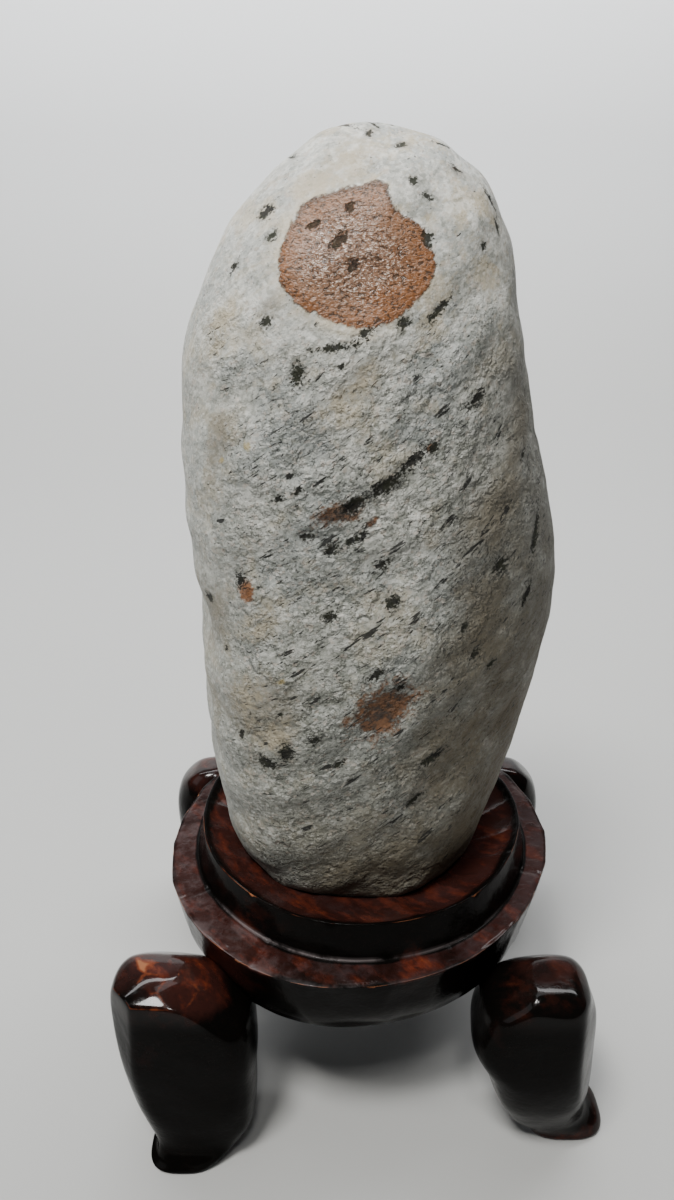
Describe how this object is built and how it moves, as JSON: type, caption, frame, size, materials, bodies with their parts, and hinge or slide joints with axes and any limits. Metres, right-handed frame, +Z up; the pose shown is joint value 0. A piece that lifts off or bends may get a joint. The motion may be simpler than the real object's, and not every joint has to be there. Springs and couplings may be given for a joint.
{
  "type": "scholars rock on stand",
  "caption": "Upright weathered gneiss boulder resting in the dished seat of a carved, lacquered wooden stand with cabriole legs.",
  "frame": {"origin": "middle of the stand's footprint, on the surface it stands on", "axes": "+Z up through the stone, -Y towards the front, +X to the right seen from the front"},
  "size_m": [0.1835, 0.179, 0.3488],
  "materials": {
    "stone": "satin",
    "lacquered_wood": "gloss"
  },
  "bodies": {
    "root": {"stone": "stone", "stand_body": "lacquered_wood", "leg_front_left": "lacquered_wood", "leg_front_right": "lacquered_wood", "leg_rear_left": "lacquered_wood", "leg_rear_right": "lacquered_wood"}
  },
  "joints": []
}
